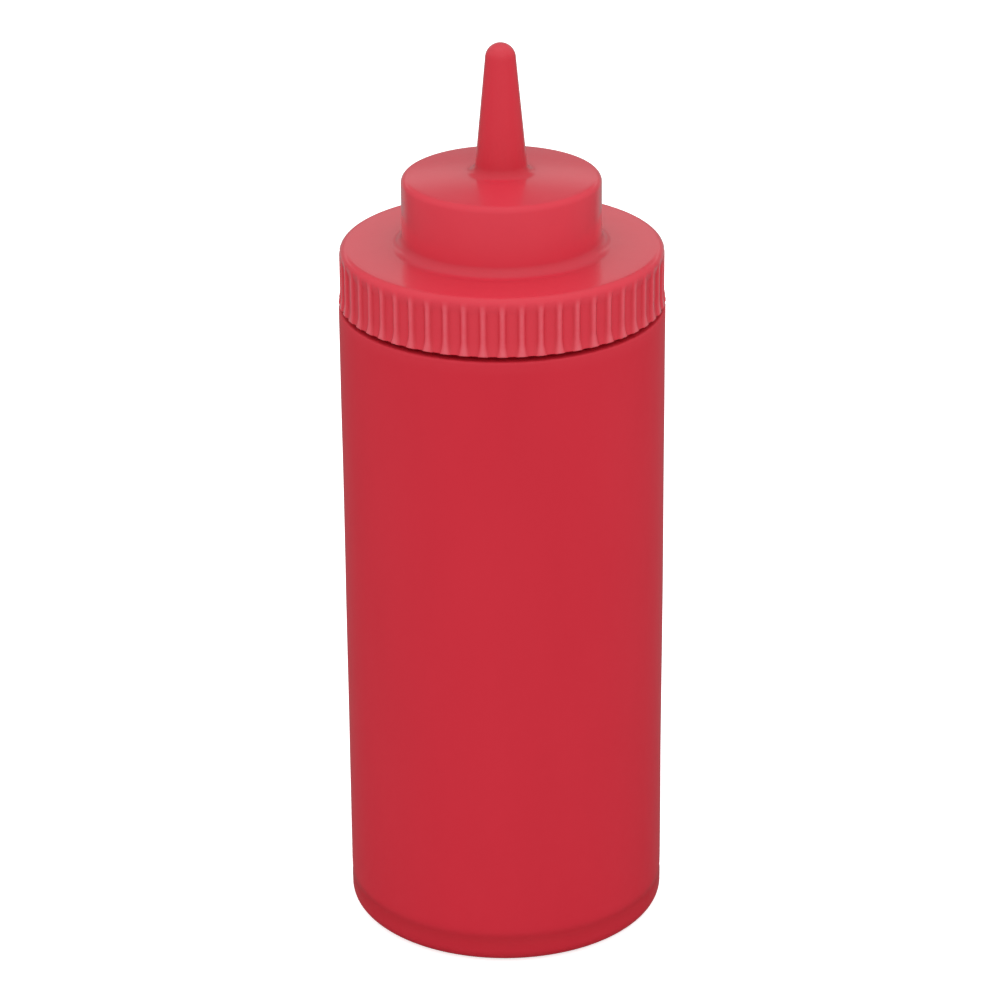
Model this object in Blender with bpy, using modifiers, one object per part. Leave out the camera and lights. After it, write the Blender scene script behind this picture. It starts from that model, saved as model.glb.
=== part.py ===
"""Sauce squeeze bottle: a straight round bottle and a screw cap with a cone nozzle.

Metres, +Z up. The origin is the middle of the base and the bottle's axis is the Z axis.
Both pieces are opaque and the bottle is shut, so each piece is one solid. The cap fits over
a plain neck on the bottle, with a small clearance, and its nozzle tip is uncut.
"""
from math import cos, pi, radians, sin, tau

import bmesh
import bpy
from mathutils import Matrix

MM = 0.001

# Bottle
BOTTLE_RADIUS = 35.3 * MM
BOTTLE_HEIGHT = 143.6 * MM      # up to the flat shoulder under the cap
HEEL_WIDTH = 3.6 * MM           # oval rounding between the wall and the base
HEEL_HEIGHT = 3.0 * MM
SHOULDER_RADIUS = 0.5 * MM      # rounding between the wall and the shoulder
BASE_RING_WIDTH = 4.0 * MM      # flat ring that the bottle stands on
PUSH_UP_DEPTH = 1.4 * MM        # the middle of the base is raised by this much
PUSH_UP_SLOPE_WIDTH = 4.5 * MM
NECK_RADIUS = 31.5 * MM
NECK_HEIGHT = 11.7 * MM

# Cap
CAP_GAP = 1.1 * MM              # open seam between the shoulder and the skirt
FIT_CLEARANCE = 0.3 * MM        # between the neck and the cap's recess
COLLAR_RADIUS = 35.0 * MM
COLLAR_TOP = 157.4 * MM
COLLAR_RIM_RADIUS = 1.6 * MM
SKIRT_FLARE = 0.35 * MM         # the skirt's lower edge stands out by this much
SKIRT_FLARE_HEIGHT = 3.4 * MM
SKIRT_LIP_RADIUS = 0.3 * MM
TURRET_RADIUS = 21.5 * MM
TURRET_TOP = 172.8 * MM
TURRET_EDGE_RADIUS = 1.4 * MM
TURRET_CROWN = 1.0 * MM         # the turret's top is domed by this much above its edge
TURRET_FOOT_FILLET = 2.4 * MM
NOZZLE_TOP = 202.1 * MM
NOZZLE_TIP_RADIUS = 3.3 * MM    # of the closed dome at the tip
NOZZLE_BASE_RADIUS = 5.7 * MM   # where the cone would meet the turret's top
NOZZLE_FOOT_FILLET = 2.2 * MM

# Grip flutes: flat-bottomed grooves down the skirt that leave narrow ribs between them
FLUTE_COUNT = 54
FLUTE_DEPTH = 0.5 * MM
FLUTE_FLOOR_WIDTH = 2.4 * MM
FLUTE_WALL_SLOPE = 0.75         # sideways run of a groove's side wall for each unit of its depth
FLUTE_TOP = 156.6 * MM
FLUTE_TOP_RUN_OUT = 3.0 * MM
FLUTE_FOOT_DEPTH = 0.3 * MM     # at the skirt's lower edge, where the ribs widen to feet
FLUTE_FOOT_WIDTH = 1.5 * MM
FLUTE_OVERSHOOT = 0.12 * MM     # the cutters reach past the flared edge by this much

# Facets
BOTTLE_STEPS = 72
CAP_STEPS = FLUTE_COUNT         # one facet to a flute, with its corners on the ribs
ARC_PIECES = 4
CROWN_PIECES = 4
MERGE_DISTANCE = 0.01 * MM

BOTTLE_COLOUR = (0.600, 0.017, 0.036, 1.0)
CAP_COLOUR = (0.745, 0.033, 0.060, 1.0)
BOTTLE_ROUGHNESS = 0.45
CAP_ROUGHNESS = 0.4


def clear_scene():
    for item in list(bpy.data.objects):
        bpy.data.objects.remove(item, do_unlink=True)


def new_collection(name):
    collection = bpy.data.collections.new(name)
    bpy.context.scene.collection.children.link(collection)
    return collection


def plastic(name, colour, roughness):
    material = bpy.data.materials.new(name)
    material.use_nodes = True
    shader = material.node_tree.nodes["Principled BSDF"]
    shader.inputs["Base Color"].default_value = colour
    shader.inputs["Roughness"].default_value = roughness
    shader.inputs["Metallic"].default_value = 0.0
    return material


def oval_arc(centre_radius, centre_height, width, height, start, end):
    """Points (radius, height) along part of an oval; angles in degrees, 0 outward and 90 upward."""
    points = []
    for index in range(ARC_PIECES + 1):
        angle = radians(start + (end - start) * index / ARC_PIECES)
        points.append((centre_radius + width * cos(angle), centre_height + height * sin(angle)))
    return points


def arc(centre_radius, centre_height, radius, start, end):
    return oval_arc(centre_radius, centre_height, radius, radius, start, end)


def turned(name, profile, steps, start, material, collection):
    """A solid turned about the Z axis from a profile that runs down its outer side.

    The first row of corners is at the angle start from +X.
    """
    mesh = bpy.data.meshes.new(name)
    corners = [(radius * cos(start), radius * sin(start), height) for radius, height in profile]
    edges = [(index, index + 1) for index in range(len(corners) - 1)]
    mesh.from_pydata(corners, edges, [])
    mesh.materials.append(material)
    piece = bpy.data.objects.new(name, mesh)
    collection.objects.link(piece)
    screw = piece.modifiers.new("Turn", "SCREW")
    screw.axis = "Z"
    screw.steps = steps
    screw.render_steps = steps
    screw.use_merge_vertices = True
    screw.merge_threshold = MERGE_DISTANCE
    return piece


def bottle_profile():
    shoulder_centre = BOTTLE_RADIUS - SHOULDER_RADIUS
    heel_centre = BOTTLE_RADIUS - HEEL_WIDTH
    ring_inner = heel_centre - BASE_RING_WIDTH
    profile = [(0.0, BOTTLE_HEIGHT + NECK_HEIGHT)]
    profile.append((NECK_RADIUS, BOTTLE_HEIGHT + NECK_HEIGHT))
    profile.append((NECK_RADIUS, BOTTLE_HEIGHT))
    profile += arc(shoulder_centre, BOTTLE_HEIGHT - SHOULDER_RADIUS, SHOULDER_RADIUS, 90, 0)
    profile += oval_arc(heel_centre, HEEL_HEIGHT, HEEL_WIDTH, HEEL_HEIGHT, 0, -90)
    profile.append((ring_inner, 0.0))
    profile.append((ring_inner - PUSH_UP_SLOPE_WIDTH, PUSH_UP_DEPTH))
    profile.append((0.0, PUSH_UP_DEPTH))
    return profile


def crown_height(radius):
    """Height of the turret's domed top, at this distance from the axis."""
    share = radius / (TURRET_RADIUS - TURRET_EDGE_RADIUS)
    return TURRET_TOP + TURRET_CROWN * (1.0 - share * share)


def nozzle_profile():
    """The closed dome, the cone and the fillet at its foot."""
    dome_height = NOZZLE_TOP - NOZZLE_TIP_RADIUS
    dome = arc(0.0, dome_height, NOZZLE_TIP_RADIUS, 90, 0)
    dome[0] = (0.0, NOZZLE_TOP)
    slope = (NOZZLE_BASE_RADIUS - NOZZLE_TIP_RADIUS) / (dome_height - TURRET_TOP)
    cone_foot = NOZZLE_BASE_RADIUS - slope * NOZZLE_FOOT_FILLET
    fillet_centre = cone_foot + NOZZLE_FOOT_FILLET
    fillet_height = crown_height(fillet_centre) + NOZZLE_FOOT_FILLET
    return dome + arc(fillet_centre, fillet_height, NOZZLE_FOOT_FILLET, 180, 270)


def crown_profile(inner_radius, outer_radius):
    """Points of the turret's domed top between two radii, without either end."""
    points = []
    for index in range(1, CROWN_PIECES):
        radius = inner_radius + (outer_radius - inner_radius) * index / CROWN_PIECES
        points.append((radius, crown_height(radius)))
    return points


def cap_profile():
    skirt_bottom = BOTTLE_HEIGHT + CAP_GAP
    edge_centre = TURRET_RADIUS - TURRET_EDGE_RADIUS
    fillet_centre = TURRET_RADIUS + TURRET_FOOT_FILLET
    rim_centre = COLLAR_RADIUS - COLLAR_RIM_RADIUS
    flared_radius = COLLAR_RADIUS + SKIRT_FLARE
    lip_centre = flared_radius - SKIRT_LIP_RADIUS
    recess_radius = NECK_RADIUS + FIT_CLEARANCE
    recess_top = BOTTLE_HEIGHT + NECK_HEIGHT + FIT_CLEARANCE
    profile = nozzle_profile()
    profile += crown_profile(profile[-1][0], edge_centre)
    profile += arc(edge_centre, TURRET_TOP - TURRET_EDGE_RADIUS, TURRET_EDGE_RADIUS, 90, 0)
    profile += arc(fillet_centre, COLLAR_TOP + TURRET_FOOT_FILLET, TURRET_FOOT_FILLET, 180, 270)
    profile += arc(rim_centre, COLLAR_TOP - COLLAR_RIM_RADIUS, COLLAR_RIM_RADIUS, 90, 0)
    profile.append((COLLAR_RADIUS, skirt_bottom + SKIRT_FLARE_HEIGHT))
    profile += arc(lip_centre, skirt_bottom + SKIRT_LIP_RADIUS, SKIRT_LIP_RADIUS, 0, -90)[::2]
    profile.append((recess_radius, skirt_bottom))
    profile.append((recess_radius, recess_top))
    profile.append((0.0, recess_top))
    return profile


def flute_sections():
    """Height, floor radius and half the floor's width of a groove's cutter, top to bottom."""
    skirt_bottom = BOTTLE_HEIGHT + CAP_GAP
    flared_radius = COLLAR_RADIUS + SKIRT_FLARE
    floor_radius = COLLAR_RADIUS - FLUTE_DEPTH
    half_width = FLUTE_FLOOR_WIDTH / 2
    foot_radius = flared_radius - FLUTE_FOOT_DEPTH
    return [
        (FLUTE_TOP, COLLAR_RADIUS, half_width),
        (FLUTE_TOP - FLUTE_TOP_RUN_OUT, floor_radius, half_width),
        (skirt_bottom + SKIRT_FLARE_HEIGHT, floor_radius, half_width),
        (skirt_bottom, foot_radius, FLUTE_FOOT_WIDTH / 2),
        (skirt_bottom - CAP_GAP / 2, foot_radius, FLUTE_FOOT_WIDTH / 2),
    ]


def add_flute_cutter(mesh, angle):
    """One groove's cutter: four-cornered sections joined from top to bottom."""
    outer_radius = COLLAR_RADIUS + SKIRT_FLARE + FLUTE_OVERSHOOT
    rings = []
    for height, floor_radius, half_width in flute_sections():
        open_half_width = half_width + (outer_radius - floor_radius) * FLUTE_WALL_SLOPE
        outline = [
            (floor_radius, -half_width),
            (outer_radius, -open_half_width),
            (outer_radius, open_half_width),
            (floor_radius, half_width),
        ]
        rings.append([mesh.verts.new((x, y, height)) for x, y in outline])
    mesh.faces.new(rings[0])
    mesh.faces.new(rings[-1][::-1])
    for upper, lower in zip(rings, rings[1:]):
        for side in range(4):
            after = (side + 1) % 4
            mesh.faces.new((upper[side], lower[side], lower[after], upper[after]))
    corners = [corner for ring in rings for corner in ring]
    bmesh.ops.rotate(mesh, verts=corners, cent=(0.0, 0.0, 0.0), matrix=Matrix.Rotation(angle, 3, "Z"))


def flute_cutters(collection):
    """All the grip flutes' cutters in one object, evenly spaced round the skirt."""
    shapes = bmesh.new()
    for index in range(FLUTE_COUNT):
        add_flute_cutter(shapes, tau * index / FLUTE_COUNT)
    mesh = bpy.data.meshes.new("flute_cutters")
    shapes.to_mesh(mesh)
    shapes.free()
    cutters = bpy.data.objects.new("flute_cutters", mesh)
    collection.objects.link(cutters)
    cutters.hide_render = True
    cutters.display_type = "WIRE"
    return cutters


def make_bottle(collection):
    material = plastic("bottle_plastic", BOTTLE_COLOUR, BOTTLE_ROUGHNESS)
    turned("bottle", bottle_profile(), BOTTLE_STEPS, 0.0, material, collection)


def make_cap(collection, cutter_collection):
    material = plastic("cap_plastic", CAP_COLOUR, CAP_ROUGHNESS)
    first_land = pi / FLUTE_COUNT
    cap = turned("cap", cap_profile(), CAP_STEPS, first_land, material, collection)
    cut = cap.modifiers.new("Flutes", "BOOLEAN")
    cut.operation = "DIFFERENCE"
    cut.object = flute_cutters(cutter_collection)


def main():
    clear_scene()
    pieces = new_collection("squeeze_bottle")
    cutters = new_collection("cutters")
    make_bottle(pieces)
    make_cap(pieces, cutters)


main()
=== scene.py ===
"""Looks of the sauce squeeze bottle: fine meshes, plastics, studio light, floor and camera.

Metres, +Z up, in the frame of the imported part. The bottle's axis is the Z axis, and the camera
looks at it from the -Y side.
"""
from math import cos, exp, pi, radians, sin, sqrt, tau

import bpy
from mathutils import Matrix, Vector, noise


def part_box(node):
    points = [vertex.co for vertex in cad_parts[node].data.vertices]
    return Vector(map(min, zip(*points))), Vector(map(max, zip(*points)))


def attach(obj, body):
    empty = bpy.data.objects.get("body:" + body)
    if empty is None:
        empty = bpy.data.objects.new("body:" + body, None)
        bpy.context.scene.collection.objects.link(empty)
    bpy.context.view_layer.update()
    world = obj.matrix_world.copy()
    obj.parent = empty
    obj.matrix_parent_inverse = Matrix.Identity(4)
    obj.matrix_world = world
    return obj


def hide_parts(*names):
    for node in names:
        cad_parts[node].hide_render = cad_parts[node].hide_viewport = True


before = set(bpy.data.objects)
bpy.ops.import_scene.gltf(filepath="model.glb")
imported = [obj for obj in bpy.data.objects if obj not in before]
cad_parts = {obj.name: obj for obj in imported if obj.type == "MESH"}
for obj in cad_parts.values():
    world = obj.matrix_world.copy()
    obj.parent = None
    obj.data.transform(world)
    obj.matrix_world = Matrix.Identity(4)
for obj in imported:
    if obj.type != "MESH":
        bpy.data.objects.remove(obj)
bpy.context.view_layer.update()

MM = 0.001

# Sizes read from the frame
CAP_LOW, CAP_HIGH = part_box("cap")
BOTTLE_LOW, BOTTLE_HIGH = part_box("bottle")
NOZZLE_TOP = CAP_HIGH[2]
SKIRT_BOTTOM = CAP_LOW[2]
SKIRT_FOOT_RADIUS = CAP_HIGH[1]
NECK_TOP = BOTTLE_HIGH[2]
BOTTLE_RADIUS = BOTTLE_HIGH[0]

# Bottle
BOTTLE_HEIGHT = 143.6 * MM
HEEL_WIDTH = 3.6 * MM
HEEL_HEIGHT = 3.0 * MM
SHOULDER_RADIUS = 0.5 * MM
BASE_RING_WIDTH = 4.0 * MM
PUSH_UP_DEPTH = 1.4 * MM
PUSH_UP_SLOPE_WIDTH = 4.5 * MM
NECK_RADIUS = 31.5 * MM
PARTING_LINE_HEIGHT = 0.05 * MM
PARTING_LINE_WIDTH = 0.22 * MM
BASE_LINE_HEIGHT = 6.3 * MM
BASE_LINE_DEPTH = 0.12 * MM
BASE_LINE_WIDTH = 0.8 * MM
PINCH_LINE_HEIGHT = 0.3 * MM
PINCH_LINE_WIDTH = 0.45 * MM
PINCH_LINE_REACH = 21.0 * MM            # from the axis to either end
PINCH_LINE_FADE = 1.0 * MM

# The wall's unevenness: a fractal noise that is drawn out upward
WALL_WAVE_HEIGHT = 0.07 * MM
WALL_WAVE_LENGTH = 34.0 * MM
WALL_WAVE_SQUEEZE = 0.6
WALL_WAVE_DIMENSION = 0.9
WALL_WAVE_LACUNARITY = 2.0
WALL_WAVE_OCTAVES = 3

# Cap
COLLAR_RADIUS = 35.0 * MM
COLLAR_TOP = 157.4 * MM
COLLAR_RIM_RADIUS = 1.6 * MM
SKIRT_FLARE_HEIGHT = 3.4 * MM
SKIRT_LIP_RADIUS = 0.3 * MM
TURRET_RADIUS = 21.5 * MM
TURRET_TOP = 172.8 * MM
TURRET_EDGE_RADIUS = 1.4 * MM
TURRET_EDGE_START = 84.0                # degrees, where the domed top meets the rounded edge
TURRET_CROWN = 1.0 * MM
TURRET_FOOT_FILLET = 2.4 * MM
NOZZLE_TIP_RADIUS = 3.3 * MM
NOZZLE_BASE_RADIUS = 5.7 * MM
NOZZLE_FOOT_FILLET = 2.2 * MM
FIT_CLEARANCE = 0.3 * MM

# Grip flutes: flat-bottomed grooves that leave narrow ribs between them
FLUTE_COUNT = 54
FLUTE_ANGLE = tau / FLUTE_COUNT
FLUTE_PITCH = FLUTE_ANGLE * COLLAR_RADIUS
FLUTE_DEPTH = 0.5 * MM
FLUTE_FLOOR_WIDTH = 2.4 * MM
FLUTE_WALL_SLOPE = 0.75
FLUTE_TOP = 156.6 * MM
FLUTE_TOP_RUN_OUT = 3.0 * MM
FLUTE_FOOT_DEPTH = 0.3 * MM
FLUTE_FOOT_WIDTH = 1.5 * MM
FLUTE_EDGE_ROUNDING = 0.3 * MM

# Fineness of the meshes
SHARP_ANGLE = 38.0                      # degrees
ARC_ROWS = 10
SHOULDER_ROWS = 8
WALL_ROWS = 50
BASE_LINE_ROWS = 24
HEEL_ROWS = 16
BASE_RING_ROWS = 3
PUSH_UP_ROWS = 10
BASE_ROWS = 24
TIP_ROWS = 12
CONE_ROWS = 8
CROWN_ROWS = 14
TURRET_WALL_ROWS = 4
TURRET_FOOT_ROWS = 12
COLLAR_ROWS = 2
PLAIN_EDGE_WIDTH = 2.0 * MM             # of the collar's top, left for the change to fine rings
RIM_ROWS = 14
FLUTE_TOP_ROWS = 5
FLUTE_ROWS = 6
FLARE_ROWS = 13
LIP_ROWS = 5
BOTTLE_SIDES = 288
PARTING_LINE_STEPS = (0.2, 0.4, 0.65, 0.95)     # degrees beside a parting line
# Corners from the middle of a flute to the middle of a rib, as shares of that distance
FLUTE_CORNERS = (0.0, 0.2, 0.38, 0.5, 0.56, 0.61, 0.66, 0.71, 0.76, 0.84)
COARSE_STEP = 5                         # plain rings have every fifth corner of the fluted ones

# From 0 to 1: how pale the red is made by wear and by painted highlight, and how dark by painted
# shade
HEEL_WEAR = 0.35
SHOULDER_WEAR = 0.5
TIP_WEAR = 0.3
# The ribs' crests and feet are made paler: partly wear, partly a painted highlight
CREST_WEAR_AND_HIGHLIGHT = 0.75
CREST_FOOT_WEAR_AND_HIGHLIGHT = 0.25                  # on top of the crest's
CREST_PALE_WIDTH = 0.45 * MM
CREST_FOOT_WIDENING = 0.8
# Painted shade: towards the bottle's base and in its base line's groove, on the nozzle, and in the
# flutes
BASE_PAINTED_SHADE = 0.45
BASE_LINE_SHADE = 0.75
# Painted shade on the nozzle and its foot, then on the flutes' floors and corners
NOZZLE_PAINTED_SHADE = 0.9
FLUTE_FLOOR_SHADE = 0.5
FLUTE_CORNER_SHADE = 0.5                # on top of the floor's
FLUTE_CORNER_WIDTH = 0.35 * MM

# Reds of each piece: the usual one, a slightly deeper one, the pale one for wear and painted
# highlight, and the dark one for painted shade
BOTTLE_REDS = (
    (0.600, 0.017, 0.036),
    (0.575, 0.015, 0.033),
    (0.620, 0.038, 0.060),
    (0.460, 0.011, 0.023),
)
CAP_REDS = (
    (0.745, 0.033, 0.060),
    (0.720, 0.029, 0.056),
    (0.750, 0.110, 0.140),
    (0.660, 0.014, 0.034),
)

# Plastic; the scales of its clouds are in cycles a metre
PLASTIC_IOR = 1.51
COAT_IOR = 1.5
COAT_ROUGHNESS = 0.17
TONE_SCALE = 38.0
SMUDGE_SCALE = 60.0
SKIN_SCALE = 420.0
WEAR_SCALE = 900.0
SKIN_HEIGHT = 0.06 * MM
SKIN_STRENGTH = 0.35
CLOUD_ROUGHNESS = 0.6
CLOUD_RANGE = (0.3, 0.7)                # where most of a cloud's values lie
WEAR_RANGE = (0.35, 0.6)                # where the wear goes from its least share to the whole
LEAST_WEAR = 0.7
POLISH = 0.03                           # taken off the roughness where hands have polished it
DULLING = 0.04                          # put on it elsewhere
WORN_DULLING = 0.1                      # put on it where the red is worn

# Brightness by elevation in degrees: of the tent, and of what the gloss reflects of it in front
# and behind
TENT_LIGHT = [(-5, 1.0), (30, 1.0), (60, 1.15), (90, 1.35)]
FRONT_LIGHT = [(-60, 0.05), (-42, 0.12), (-20, 0.12), (5, 0.18), (30, 0.2), (60, 0.2), (90, 0.24)]
REAR_LIGHT = [
    (-60, 0.1), (-30, 0.25), (-10, 0.35), (5, 0.3), (14, 0.18),
    (18.5, 0.66), (21, 0.66), (25, 0.12), (60, 0.18), (90, 0.24),
]
# The same by degrees from the front; it counts in full up to one elevation and fades to the other
SIDE_LIGHT = [(35, 1.0), (58, 0.7), (78, 0.7), (100, 0.95), (125, 0.85), (135, 0.8), (150, 1.0)]
SIDE_LIGHT_FULL = 12.0
SIDE_LIGHT_END = 35.0
# Shares of half a turn from the front, where the rear's light sets in and where it is alone
REAR_START = 0.74
REAR_FULL = 0.82

FLOOR_RADIUS = 4.0
FLOOR_SIDES = 96
FLOOR_WHITE = 0.8
FLOOR_GLOW = 0.7
FLOOR_ROUGHNESS = 0.9
FLOOR_SHINE = 0.1

LAMP_TARGET = Vector((0.0, 0.0, 0.1))

CAMERA_DISTANCE = 0.7921
CAMERA_HEIGHT = 0.44084
CAMERA_TILT = 23.4494                   # degrees
CAMERA_YAW = 0.0577
CAMERA_ROLL = -0.434
CAMERA_LENS = 140.65                    # mm, on a sensor of SENSOR_WIDTH
SENSOR_WIDTH = 36.0


# ---------------------------------------------------------------- curves

def ease(share):
    """A smooth step: 0 up to a share of 0, and 1 from a share of 1."""
    share = min(max(share, 0.0), 1.0)
    return share * share * (3.0 - 2.0 * share)


def ridge(distance, width):
    """A smooth bump of height 1 that has mostly faded at its width."""
    return exp(-(distance / width) ** 2)


def rounded_min(a, b, rounding):
    """The smaller of two values, with the corner where they meet rounded off."""
    near = max(0.0, rounding - abs(a - b)) / rounding
    return min(a, b) - near * near * rounding / 4.0


def oval_arc(centre_radius, centre_height, width, height, start, end, pieces=ARC_ROWS):
    """Points (radius, height) along part of an oval; angles in degrees, 0 outward and 90 upward."""
    points = []
    for index in range(pieces + 1):
        angle = radians(start + (end - start) * index / pieces)
        points.append((centre_radius + width * cos(angle), centre_height + height * sin(angle)))
    return points


def arc(centre_radius, centre_height, radius, start, end, pieces=ARC_ROWS):
    """Points (radius, height) along part of a circle, with angles as in oval_arc."""
    return oval_arc(centre_radius, centre_height, radius, radius, start, end, pieces)


def line(start, end, pieces):
    """Points (radius, height) after start, up to end, evenly spaced."""
    points = []
    for index in range(1, pieces + 1):
        share = index / pieces
        radius = start[0] + (end[0] - start[0]) * share
        height = start[1] + (end[1] - start[1]) * share
        points.append((radius, height))
    return points


# ---------------------------------------------------------------- meshes

def ring(profile_point, angles, shape):
    """A ring of corners at one point of the profile; one corner where it is on the axis."""
    radius, height = profile_point
    if radius == 0.0:
        return [shape(0.0, radius, height)]
    return [shape(angle, radius, height) for angle in angles]


def stitch_rings(coarse, fine):
    """Triangles between a ring above and one below with a whole number of times its corners."""
    faces = []
    ratio = len(fine) // len(coarse)
    half = ratio // 2
    for index, corner in enumerate(coarse):
        following = coarse[(index + 1) % len(coarse)]
        first = index * ratio
        near = [fine[(first + step) % len(fine)] for step in range(half + 1)]
        far = [fine[(first + half + step) % len(fine)] for step in range(ratio - half + 1)]
        faces += [(corner, a, b) for a, b in zip(near, near[1:])]
        faces.append((corner, near[-1], following))
        faces += [(following, a, b) for a, b in zip(far, far[1:])]
    return faces


def join_rings(upper, lower):
    """Faces between two rings of corner numbers, the upper one further up the outer side."""
    if len(lower) == 1:
        return [(upper[i], lower[0], upper[(i + 1) % len(upper)]) for i in range(len(upper))]
    if len(upper) == 1:
        return [(upper[0], lower[i], lower[(i + 1) % len(lower)]) for i in range(len(lower))]
    if len(upper) < len(lower):
        return stitch_rings(upper, lower)
    if len(upper) > len(lower):
        return [face[::-1] for face in stitch_rings(lower, upper)]
    faces = []
    for index in range(len(upper)):
        following = (index + 1) % len(upper)
        faces.append((upper[index], lower[index], lower[following], upper[following]))
    return faces


def turned_mesh(name, rows, shape, wear_and_highlight, painted_shade):
    """A closed mesh from rows of (profile point, angles), top to bottom down the outer side.

    The last two functions give, from 0 to 1, how far wear and painted highlight make the red at a
    corner paler, and how far painted shade makes it darker.
    """
    corners, faces, rings, paleness, shade_values = [], [], [], [], []
    for profile_point, angles in rows:
        made = ring(profile_point, angles, shape)
        rings.append(list(range(len(corners), len(corners) + len(made))))
        corners += made
        used = angles if len(made) > 1 else (0.0,)
        paleness += [wear_and_highlight(angle, *profile_point) for angle in used]
        shade_values += [painted_shade(angle, *profile_point) for angle in used]
    for upper, lower in zip(rings, rings[1:]):
        faces += join_rings(upper, lower)
    mesh = bpy.data.meshes.new(name)
    mesh.from_pydata(corners, [], faces)
    mesh.shade_smooth()
    mesh.set_sharp_from_angle(angle=radians(SHARP_ANGLE))
    mesh.attributes.new("wear_and_highlight", "FLOAT", "POINT").data.foreach_set("value", paleness)
    mesh.attributes.new("painted_shade", "FLOAT", "POINT").data.foreach_set("value", shade_values)
    piece = bpy.data.objects.new(name, mesh)
    bpy.context.scene.collection.objects.link(piece)
    return piece


# ---------------------------------------------------------------- bottle

def bottle_profile():
    """From the top of the neck down the wall, round the heel and in to the middle of the base."""
    shoulder_centre = BOTTLE_RADIUS - SHOULDER_RADIUS
    shoulder_height = BOTTLE_HEIGHT - SHOULDER_RADIUS
    heel_centre = BOTTLE_RADIUS - HEEL_WIDTH
    ring_inner = heel_centre - BASE_RING_WIDTH
    points = [(0.0, NECK_TOP), (NECK_RADIUS, NECK_TOP), (NECK_RADIUS, BOTTLE_HEIGHT)]
    points += arc(shoulder_centre, shoulder_height, SHOULDER_RADIUS, 90, 0, SHOULDER_ROWS)
    points += line(points[-1], (BOTTLE_RADIUS, 2.0 * BASE_LINE_HEIGHT), WALL_ROWS)
    points += line(points[-1], (BOTTLE_RADIUS, HEEL_HEIGHT), BASE_LINE_ROWS)[:-1]
    points += oval_arc(heel_centre, HEEL_HEIGHT, HEEL_WIDTH, HEEL_HEIGHT, 0, -90, HEEL_ROWS)
    points += line(points[-1], (ring_inner, 0.0), BASE_RING_ROWS)
    for index in range(1, PUSH_UP_ROWS + 1):
        share = index / PUSH_UP_ROWS
        points.append((ring_inner - PUSH_UP_SLOPE_WIDTH * share, PUSH_UP_DEPTH * ease(share)))
    points += line(points[-1], (0.0, PUSH_UP_DEPTH), BASE_ROWS)
    return points


def bottle_angles():
    """Even angles, with finer ones beside the two parting lines at +X and -X."""
    angles = [tau * index / BOTTLE_SIDES for index in range(BOTTLE_SIDES)]
    for side in (0.0, pi):
        for step in PARTING_LINE_STEPS:
            angles.append((side + radians(step)) % tau)
            angles.append((side - radians(step)) % tau)
    return sorted(angles)


def wall_wave(angle, height):
    """The slight unevenness of a blown wall."""
    x, y = cos(angle) * BOTTLE_RADIUS, sin(angle) * BOTTLE_RADIUS
    place = Vector((x, y, height * WALL_WAVE_SQUEEZE)) / WALL_WAVE_LENGTH
    wave = noise.fractal(place, WALL_WAVE_DIMENSION, WALL_WAVE_LACUNARITY, WALL_WAVE_OCTAVES)
    return WALL_WAVE_HEIGHT * wave


def wall_relief(angle, y, height):
    """How far the wall and the heel stand out from the plain turned shape."""
    above_foot = height / (2.0 * HEEL_HEIGHT)
    below_top = (BOTTLE_HEIGHT - height) / (6.0 * SHOULDER_RADIUS)
    relief = wall_wave(angle, height) * max(min(1.0, above_foot, below_top), 0.0)
    relief -= BASE_LINE_DEPTH * ridge(height - BASE_LINE_HEIGHT, BASE_LINE_WIDTH)
    relief += PARTING_LINE_HEIGHT * ridge(y, PARTING_LINE_WIDTH) * min(1.0, height / HEEL_HEIGHT)
    return relief


def pinch_line(x, y):
    """How far the pinch line stands down from the raised middle of the base."""
    ends = 1.0 / (1.0 + exp((abs(x) - PINCH_LINE_REACH) / PINCH_LINE_FADE))
    return PINCH_LINE_HEIGHT * ridge(y, PINCH_LINE_WIDTH) * ends


def bottle_shape(angle, radius, height):
    """Where the bottle's surface lies at this angle, for a point of its profile."""
    x, y, z = radius * cos(angle), radius * sin(angle), height
    ring_inner = BOTTLE_RADIUS - HEEL_WIDTH - BASE_RING_WIDTH
    if radius > NECK_RADIUS and height > 0.0:
        relief = wall_relief(angle, y, height)
        x += relief * cos(angle)
        y += relief * sin(angle)
    elif radius < ring_inner and 0.0 < height < 2 * PUSH_UP_DEPTH:
        z -= pinch_line(x, y)
    return (x, y, z)


def bottle_rubbed(angle, radius, height):
    """The heel and the shoulder's edge are slightly worn on the outside."""
    if radius < BOTTLE_RADIUS - HEEL_WIDTH:
        return 0.0
    heel = ridge(height - 0.15 * HEEL_HEIGHT, 0.25 * HEEL_HEIGHT)
    shoulder = ridge(height - BOTTLE_HEIGHT, 1.2 * SHOULDER_RADIUS)
    return HEEL_WEAR * heel + SHOULDER_WEAR * shoulder


def bottle_painted_shade(angle, radius, height):
    """Painted shade: the red darker towards the base, where little light comes up from the floor,
    and darker still in the groove where the mould's base piece met the wall.
    """
    if radius < NECK_RADIUS or height > 3.0 * BASE_LINE_HEIGHT:
        return 0.0
    toward_base = ease((1.1 * BASE_LINE_HEIGHT - height) / (0.4 * BASE_LINE_HEIGHT))
    groove = ridge(height - BASE_LINE_HEIGHT, 1.6 * BASE_LINE_WIDTH)
    return min(1.0, BASE_PAINTED_SHADE * toward_base + BASE_LINE_SHADE * groove)


# ------------------------------------------------------------------- cap

def crown(radius):
    """Height of the turret's slightly domed top."""
    return TURRET_TOP + TURRET_CROWN * (1.0 - (radius / (TURRET_RADIUS - TURRET_EDGE_RADIUS)) ** 2)


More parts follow.
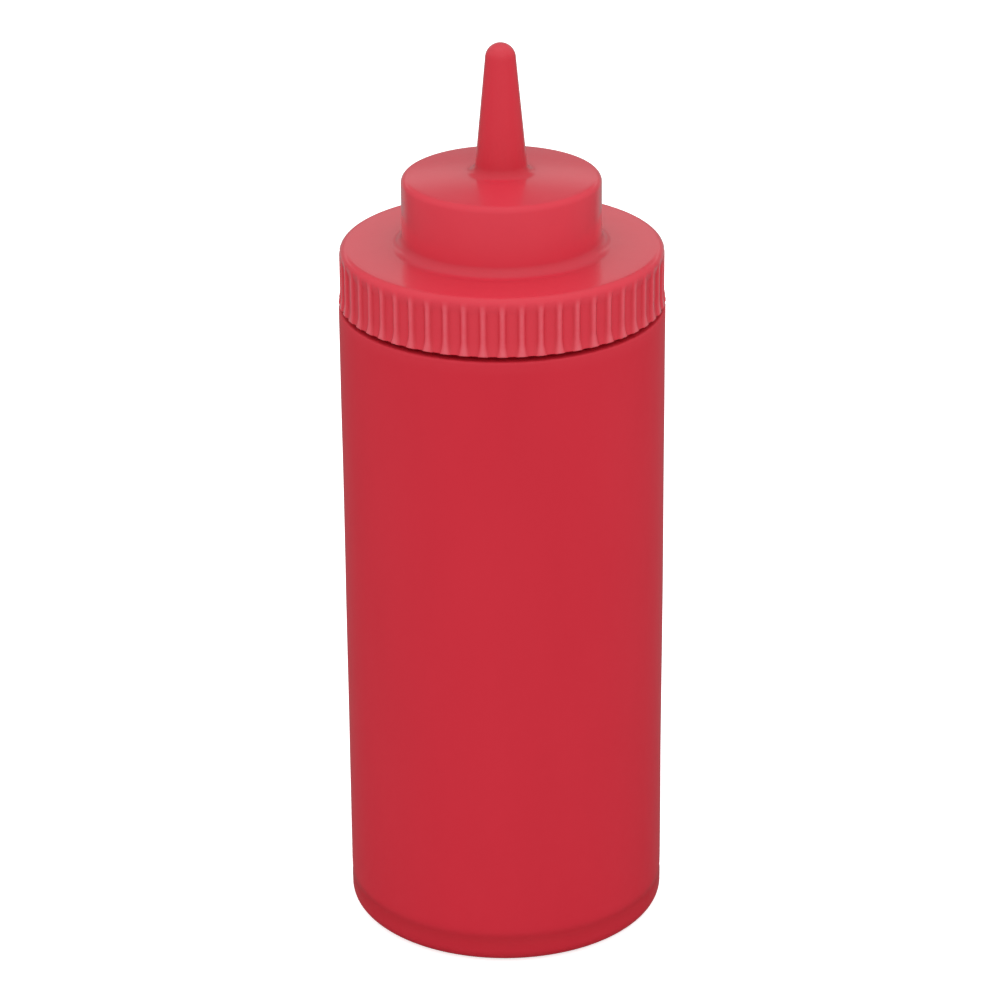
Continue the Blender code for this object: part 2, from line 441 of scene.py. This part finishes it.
def nozzle_points():
    """From the nozzle's tip down to the fillet at its foot."""
    dome_height = NOZZLE_TOP - NOZZLE_TIP_RADIUS
    slope = (NOZZLE_BASE_RADIUS - NOZZLE_TIP_RADIUS) / (dome_height - TURRET_TOP)
    cone_foot = NOZZLE_BASE_RADIUS - slope * NOZZLE_FOOT_FILLET
    fillet_centre = cone_foot + NOZZLE_FOOT_FILLET
    fillet_height = crown(fillet_centre) + NOZZLE_FOOT_FILLET
    points = [(0.0, NOZZLE_TOP)] + arc(0.0, dome_height, NOZZLE_TIP_RADIUS, 90, 0, TIP_ROWS)[1:]
    points += line(points[-1], (cone_foot, fillet_height), CONE_ROWS)[:-1]
    points += arc(fillet_centre, fillet_height, NOZZLE_FOOT_FILLET, 180, 270)
    return points


def upper_cap_points():
    """From the nozzle's tip down to the outer part of the collar's flat top."""
    edge_centre = TURRET_RADIUS - TURRET_EDGE_RADIUS
    edge_height = TURRET_TOP - TURRET_EDGE_RADIUS
    fillet_centre = TURRET_RADIUS + TURRET_FOOT_FILLET
    fillet_height = COLLAR_TOP + TURRET_FOOT_FILLET
    plain_edge = COLLAR_RADIUS - COLLAR_RIM_RADIUS - PLAIN_EDGE_WIDTH
    points = nozzle_points()
    top = line(points[-1], (edge_centre, TURRET_TOP), CROWN_ROWS)[:-1]
    points += [(radius, crown(radius)) for radius, height in top]
    points += arc(edge_centre, edge_height, TURRET_EDGE_RADIUS, TURRET_EDGE_START, 0)
    points += line(points[-1], (TURRET_RADIUS, fillet_height), TURRET_WALL_ROWS)[:-1]
    points += arc(fillet_centre, fillet_height, TURRET_FOOT_FILLET, 180, 270, TURRET_FOOT_ROWS)
    points += line(points[-1], (plain_edge, COLLAR_TOP), COLLAR_ROWS)
    return points


def skirt_points():
    """From the collar's rim down to the lip under the skirt."""
    rim_centre = COLLAR_RADIUS - COLLAR_RIM_RADIUS
    flare_top = SKIRT_BOTTOM + SKIRT_FLARE_HEIGHT
    flare = SKIRT_FOOT_RADIUS - COLLAR_RADIUS
    lip_centre = SKIRT_FOOT_RADIUS - SKIRT_LIP_RADIUS
    lip_height = SKIRT_BOTTOM + SKIRT_LIP_RADIUS
    points = arc(rim_centre, COLLAR_TOP - COLLAR_RIM_RADIUS, COLLAR_RIM_RADIUS, 90, 0, RIM_ROWS)
    points += line(points[-1], (COLLAR_RADIUS, FLUTE_TOP - FLUTE_TOP_RUN_OUT), FLUTE_TOP_ROWS)
    points += line(points[-1], (COLLAR_RADIUS, flare_top), FLUTE_ROWS)
    for radius, height in line(points[-1], (COLLAR_RADIUS, lip_height), FLARE_ROWS)[:-1]:
        share = (flare_top - height) / (flare_top - lip_height)
        points.append((radius + flare * share * share, height))
    points += arc(lip_centre, lip_height, SKIRT_LIP_RADIUS, 0, -90, LIP_ROWS)
    return points


def underside_points():
    """The flat underside of the skirt and the recess for the neck."""
    recess_radius = NECK_RADIUS + FIT_CLEARANCE
    recess_top = NECK_TOP + FIT_CLEARANCE
    return [(recess_radius, SKIRT_BOTTOM), (recess_radius, recess_top), (0.0, recess_top)]


def fluted_angles():
    """Angles round the cap, closest together on the flutes' side walls; one flute is at +X."""
    shares = [-1.0] + [-share for share in FLUTE_CORNERS[:0:-1]] + list(FLUTE_CORNERS)
    half_angle = FLUTE_ANGLE / 2
    return [(2 * index + share) * half_angle for index in range(FLUTE_COUNT) for share in shares]


def from_flute(angle):
    """Distance round the collar from the middle of the nearest flute."""
    return abs(angle / FLUTE_ANGLE - round(angle / FLUTE_ANGLE)) * FLUTE_PITCH


def lip_setback(height):
    """How far back the skirt's rounded lower edge lies at this height."""
    below = min(max(SKIRT_BOTTOM + SKIRT_LIP_RADIUS - height, 0.0), SKIRT_LIP_RADIUS)
    return SKIRT_LIP_RADIUS - sqrt(SKIRT_LIP_RADIUS ** 2 - below ** 2)


def flute_floor(height):
    """Radius and half the width of a flute's floor at this height."""
    floor_radius = COLLAR_RADIUS - FLUTE_DEPTH
    flare_top = SKIRT_BOTTOM + SKIRT_FLARE_HEIGHT
    if height > flare_top:
        rise = ease((height - FLUTE_TOP + FLUTE_TOP_RUN_OUT) / FLUTE_TOP_RUN_OUT)
        return floor_radius + FLUTE_DEPTH * rise, FLUTE_FLOOR_WIDTH / 2
    drop = ((flare_top - height) / SKIRT_FLARE_HEIGHT) ** 2
    foot_radius = SKIRT_FOOT_RADIUS - FLUTE_FOOT_DEPTH
    radius = floor_radius + (foot_radius - floor_radius) * drop - lip_setback(height)
    return radius, (FLUTE_FLOOR_WIDTH + (FLUTE_FOOT_WIDTH - FLUTE_FLOOR_WIDTH) * drop) / 2


def flute_reach(angle, height):
    """How far out the flutes' cut lies at this angle and height."""
    floor_radius, half_width = flute_floor(height)
    wall = floor_radius + (from_flute(angle) - half_width) / FLUTE_WALL_SLOPE
    return -rounded_min(-floor_radius, -wall, FLUTE_EDGE_ROUNDING)


def cap_shape(angle, radius, height):
    """Where the cap's surface lies at this angle, for a point of its profile."""
    if radius > NECK_RADIUS + 2 * FIT_CLEARANCE and height < COLLAR_TOP:
        radius = rounded_min(radius, flute_reach(angle, height), FLUTE_EDGE_ROUNDING)
    return (radius * cos(angle), radius * sin(angle), height)


def cap_wear_and_highlight(angle, radius, height):
    """The ribs' crests and feet are paler, partly worn by hands and partly a painted highlight;
    hands wear the nozzle's tip to a paler red too.
    """
    if height > NOZZLE_TOP - 2 * NOZZLE_TIP_RADIUS:
        return TIP_WEAR * ease((height - NOZZLE_TOP) / NOZZLE_TIP_RADIUS + 1.0)
    if radius < NECK_RADIUS:
        return 0.0
    # Painted highlight, partly wear, along the ribs' crests, widening at their feet
    from_rib = FLUTE_PITCH / 2 - from_flute(angle)
    foot = ridge(height - SKIRT_BOTTOM, 0.6 * SKIRT_FLARE_HEIGHT)
    crest = ridge(from_rib, CREST_PALE_WIDTH * (1.0 + CREST_FOOT_WIDENING * foot))
    below_top = ease(1.5 * (FLUTE_TOP - height) / FLUTE_TOP_RUN_OUT)
    return crest * below_top * (CREST_WEAR_AND_HIGHLIGHT + CREST_FOOT_WEAR_AND_HIGHLIGHT * foot)


def cap_painted_shade(angle, radius, height):
    """Painted shade: on the nozzle and the fillet at its foot, and on the flutes' floors and in
    their corners.
    """
    nozzle_foot = NOZZLE_BASE_RADIUS + NOZZLE_FOOT_FILLET
    if radius < nozzle_foot and height > TURRET_TOP:
        return NOZZLE_PAINTED_SHADE * ease((nozzle_foot - radius) / NOZZLE_FOOT_FILLET)
    if radius < NECK_RADIUS + 2 * FIT_CLEARANCE or height > FLUTE_TOP:
        return 0.0
    from_corner = from_flute(angle) - flute_floor(height)[1]
    corner = ridge(from_corner, FLUTE_CORNER_WIDTH)
    inside = 1.0 - ease(from_corner / FLUTE_CORNER_WIDTH)
    below_top = ease((FLUTE_TOP - height) / FLUTE_TOP_RUN_OUT)
    return (FLUTE_FLOOR_SHADE * inside + FLUTE_CORNER_SHADE * corner) * below_top


# -------------------------------------------------------------- materials

def new_material(name):
    """A material with nodes, its nodes and its links."""
    material = bpy.data.materials.new(name)
    material.use_nodes = True
    return material, material.node_tree.nodes, material.node_tree.links


def arithmetic(nodes, links, operation, first, second):
    """One step of arithmetic; each value is a number, the output of a node, or None."""
    step = nodes.new("ShaderNodeMath")
    step.operation = operation
    for socket, value in zip(step.inputs, (first, second)):
        if isinstance(value, (int, float)):
            socket.default_value = value
        elif value is not None:
            links.new(value, socket)
    return step.outputs[0]


def painted(nodes, attribute):
    """The value that the mesh carries at each corner under this name."""
    reader = nodes.new("ShaderNodeAttribute")
    reader.attribute_name = attribute
    return reader.outputs["Fac"]


def noise_field(nodes, links, place, scale, detail):
    """Soft clouds between 0 and 1."""
    cloud = nodes.new("ShaderNodeTexNoise")
    cloud.inputs["Scale"].default_value = scale
    cloud.inputs["Detail"].default_value = detail
    cloud.inputs["Roughness"].default_value = CLOUD_ROUGHNESS
    links.new(place, cloud.inputs["Vector"])
    return cloud.outputs["Fac"]


def rescale(nodes, links, value, old_range, new_low, new_high):
    """A value in the old range turned into one between new_low and new_high."""
    span = nodes.new("ShaderNodeMapRange")
    for place, number in enumerate((*old_range, new_low, new_high), start=1):
        span.inputs[place].default_value = number
    links.new(value, span.inputs["Value"])
    return span.outputs["Result"]


def blend_colours(nodes, links, share, first, second):
    """A mix of two colours; each is three numbers or the output of a node."""
    mix = nodes.new("ShaderNodeMix")
    mix.data_type = "RGBA"
    for socket, colour in ((mix.inputs[6], first), (mix.inputs[7], second)):
        if isinstance(colour, tuple):
            socket.default_value = (*colour, 1.0)
        else:
            links.new(colour, socket)
    links.new(share, mix.inputs["Factor"])
    return mix.outputs[2]


def plastic(name, reds, roughness, shine, coat, streaks):
    """Moulded polyethylene: uneven red, darker where shade is painted, paler where it is rubbed and
    where a highlight is painted, soft gloss and a fine skin.

    Streaks below 1 draw the unevenness out along the axis, as in a blown wall.
    """
    usual, deep, pale, shaded_red = reds
    material, nodes, links = new_material(name)
    shader = nodes["Principled BSDF"]
    shader.inputs["IOR"].default_value = PLASTIC_IOR
    shader.inputs["Specular IOR Level"].default_value = shine
    shader.inputs["Coat Weight"].default_value = coat
    shader.inputs["Coat Roughness"].default_value = COAT_ROUGHNESS
    shader.inputs["Coat IOR"].default_value = COAT_IOR
    place = nodes.new("ShaderNodeTexCoord").outputs["Object"]
    stretch = nodes.new("ShaderNodeMapping")
    stretch.inputs["Scale"].default_value = (1.0, 1.0, streaks)
    links.new(place, stretch.inputs["Vector"])
    streaked = stretch.outputs["Vector"]

    tone = noise_field(nodes, links, streaked, TONE_SCALE, 5.0)
    tone = rescale(nodes, links, tone, CLOUD_RANGE, 0.0, 1.0)
    red = blend_colours(nodes, links, tone, usual, deep)
    # Painted shade: the red darkened towards the shaded red
    red = blend_colours(nodes, links, painted(nodes, "painted_shade"), red, shaded_red)
    patchy = noise_field(nodes, links, place, WEAR_SCALE, 3.0)
    patchy = rescale(nodes, links, patchy, WEAR_RANGE, LEAST_WEAR, 1.0)
    # Paler where worn and where a highlight is painted on the ribs' crests and feet
    wear_and_highlight = arithmetic(nodes, links, "MULTIPLY", painted(nodes, "wear_and_highlight"), patchy)
    red = blend_colours(nodes, links, wear_and_highlight, red, pale)
    links.new(red, shader.inputs["Base Color"])

    smudge = noise_field(nodes, links, streaked, SMUDGE_SCALE, 4.0)
    smudge = rescale(nodes, links, smudge, CLOUD_RANGE, roughness - POLISH, roughness + DULLING)
    worn = arithmetic(nodes, links, "MULTIPLY", wear_and_highlight, WORN_DULLING)
    links.new(arithmetic(nodes, links, "ADD", smudge, worn), shader.inputs["Roughness"])

    skin = noise_field(nodes, links, place, SKIN_SCALE, 3.0)
    bump = nodes.new("ShaderNodeBump")
    bump.inputs["Strength"].default_value = SKIN_STRENGTH
    bump.inputs["Distance"].default_value = SKIN_HEIGHT
    links.new(skin, bump.inputs["Height"])
    links.new(bump.outputs["Normal"], shader.inputs["Normal"])
    return material


# ----------------------------------------------------------------- pieces

def make_bottle():
    """The bottle: a blown body whose finish is matt."""
    angles = bottle_angles()
    rows = [(point, angles) for point in bottle_profile()]
    piece = turned_mesh("bottle_body", rows, bottle_shape, bottle_rubbed, bottle_painted_shade)
    finish = plastic("bottle_plastic", BOTTLE_REDS, 0.42, shine=0.25, coat=0.0, streaks=0.3)
    piece.data.materials.append(finish)
    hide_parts("bottle")
    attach(piece, "root")


def make_cap():
    """The cap: one moulding with a clear gloss on it."""
    fine = fluted_angles()
    plain = fine[::COARSE_STEP]
    rows = [(point, plain) for point in upper_cap_points()]
    rows += [(point, fine) for point in skirt_points()]
    rows += [(point, plain) for point in underside_points()]
    piece = turned_mesh("cap_moulding", rows, cap_shape, cap_wear_and_highlight, cap_painted_shade)
    finish = plastic("cap_plastic", CAP_REDS, 0.45, shine=0.35, coat=1.0, streaks=1.0)
    piece.data.materials.append(finish)
    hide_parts("cap")
    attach(piece, "root")


# ------------------------------------------------- floor, light and camera

def make_floor():
    """A white floor; the camera alone sees its glow, so the bottle isn't lit by that."""
    bpy.ops.mesh.primitive_circle_add(vertices=FLOOR_SIDES, radius=FLOOR_RADIUS, fill_type="NGON")
    ground = bpy.context.object
    ground.name = "studio_floor"
    material, nodes, links = new_material("studio_floor")
    shader = nodes["Principled BSDF"]
    shader.inputs["Base Color"].default_value = (FLOOR_WHITE, FLOOR_WHITE, FLOOR_WHITE, 1.0)
    shader.inputs["Emission Color"].default_value = (1.0, 1.0, 1.0, 1.0)
    shader.inputs["Roughness"].default_value = FLOOR_ROUGHNESS
    shader.inputs["Specular IOR Level"].default_value = FLOOR_SHINE
    seen = nodes.new("ShaderNodeLightPath").outputs["Is Camera Ray"]
    glow = arithmetic(nodes, links, "MULTIPLY", seen, FLOOR_GLOW)
    links.new(glow, shader.inputs["Emission Strength"])
    ground.data.materials.append(material)
    ground.visible_glossy = False


def soft_box(name, turn, lift, distance, size, power):
    """A rectangular lamp that faces the bottle, turn degrees to its right and lift degrees up."""
    lamp = bpy.data.lights.new(name, "AREA")
    lamp.shape = "RECTANGLE"
    lamp.size, lamp.size_y = size
    lamp.energy = power
    holder = bpy.data.objects.new(name, lamp)
    turn, lift = radians(turn), radians(lift)
    way = Vector((sin(turn) * cos(lift), -cos(turn) * cos(lift), sin(lift)))
    holder.location = LAMP_TARGET + way * distance
    holder.rotation_euler = way.to_track_quat("Z", "Y").to_euler()
    holder.visible_glossy = False
    bpy.context.scene.collection.objects.link(holder)


def ramp(nodes, links, source, stops):
    """Brightness looked up from a value between 0 and 1."""
    lookup = nodes.new("ShaderNodeValToRGB")
    lookup.color_ramp.interpolation = "EASE"
    lookup.color_ramp.elements.remove(lookup.color_ramp.elements[1])
    for index, (place, level) in enumerate(stops):
        made = lookup.color_ramp.elements
        stop = made[0] if index == 0 else made.new(place)
        stop.position = place
        stop.color = (level, level, level, 1.0)
    links.new(source, lookup.inputs["Fac"])
    return lookup.outputs["Color"]


def up_the_sky(degrees):
    """Place on a ramp that runs from straight down, 0, to straight up, 1."""
    return (1.0 + sin(radians(degrees))) / 2.0


def sky_stops(levels, straight_down):
    """Ramp stops from brightness by elevation in degrees."""
    return [(0.0, straight_down)] + [(up_the_sky(degrees), level) for degrees, level in levels]


def make_world():
    """A white tent; what the gloss reflects of it is darker in front than at the backdrop."""
    world = bpy.data.worlds.new("studio")
    world.use_nodes = True
    world.cycles.sampling_method = "NONE"
    bpy.context.scene.world = world
    nodes, links = world.node_tree.nodes, world.node_tree.links
    back = nodes["Background"]
    place = nodes.new("ShaderNodeTexCoord")
    split = nodes.new("ShaderNodeSeparateXYZ")
    links.new(place.outputs["Generated"], split.inputs[0])
    x, y, z = split.outputs

    def calc(operation, first, second=None):
        return arithmetic(nodes, links, operation, first, second)

    def others(share):
        return calc("SUBTRACT", 1.0, share)

    from_front = calc("ARCTAN2", x, calc("MULTIPLY", y, -1.0))
    turn = calc("DIVIDE", calc("ABSOLUTE", from_front), pi)
    rise = calc("MULTIPLY_ADD", z, 0.5)
    rise.node.inputs[2].default_value = 0.5

    front = ramp(nodes, links, rise, sky_stops(FRONT_LIGHT, FRONT_LIGHT[0][1]))
    rear = ramp(nodes, links, rise, sky_stops(REAR_LIGHT, REAR_LIGHT[0][1]))
    is_rear = ramp(nodes, links, turn, [(0.0, 0.0), (REAR_START, 0.0), (REAR_FULL, 1.0)])
    side_stops = [(degrees / 180.0, level) for degrees, level in SIDE_LIGHT]
    side = ramp(nodes, links, turn, [(0.0, SIDE_LIGHT[0][1])] + side_stops)
    low = ramp(nodes, links, rise, sky_stops([(SIDE_LIGHT_FULL, 1.0), (SIDE_LIGHT_END, 0.0)], 1.0))
    both = calc("ADD", calc("MULTIPLY", rear, is_rear), calc("MULTIPLY", front, others(is_rear)))
    shade = others(calc("MULTIPLY", low, others(side)))

    mirrored = nodes.new("ShaderNodeLightPath").outputs["Is Glossy Ray"]
    reflected = calc("MULTIPLY", calc("MULTIPLY", both, shade), mirrored)
    walls = ramp(nodes, links, rise, sky_stops(TENT_LIGHT, 0.0))
    tent = calc("MULTIPLY", others(mirrored), walls)
    links.new(calc("ADD", reflected, tent), back.inputs["Strength"])
    back.inputs["Color"].default_value = (1.0, 1.0, 1.0, 1.0)


def make_camera():
    """A long lens in front of the bottle and above it, with no blur."""
    lens = bpy.data.cameras.new("camera")
    lens.sensor_width = SENSOR_WIDTH
    lens.lens = CAMERA_LENS
    lens.clip_start = 0.05
    lens.clip_end = 20.0
    camera = bpy.data.objects.new("camera", lens)
    yaw = Matrix.Rotation(radians(CAMERA_YAW), 4, "Z")
    tilt = Matrix.Rotation(radians(90.0 - CAMERA_TILT), 4, "X")
    roll = Matrix.Rotation(radians(CAMERA_ROLL), 4, "Z")
    place = Matrix.Translation((0.0, -CAMERA_DISTANCE, CAMERA_HEIGHT))
    camera.matrix_world = place @ yaw @ tilt @ roll
    bpy.context.scene.collection.objects.link(camera)
    bpy.context.scene.camera = camera


make_bottle()
make_cap()
make_floor()
make_world()
soft_box("key", turn=14, lift=40, distance=1.3, size=(1.2, 1.0), power=1.6)
make_camera()
bpy.context.scene.view_settings.view_transform = "Standard"
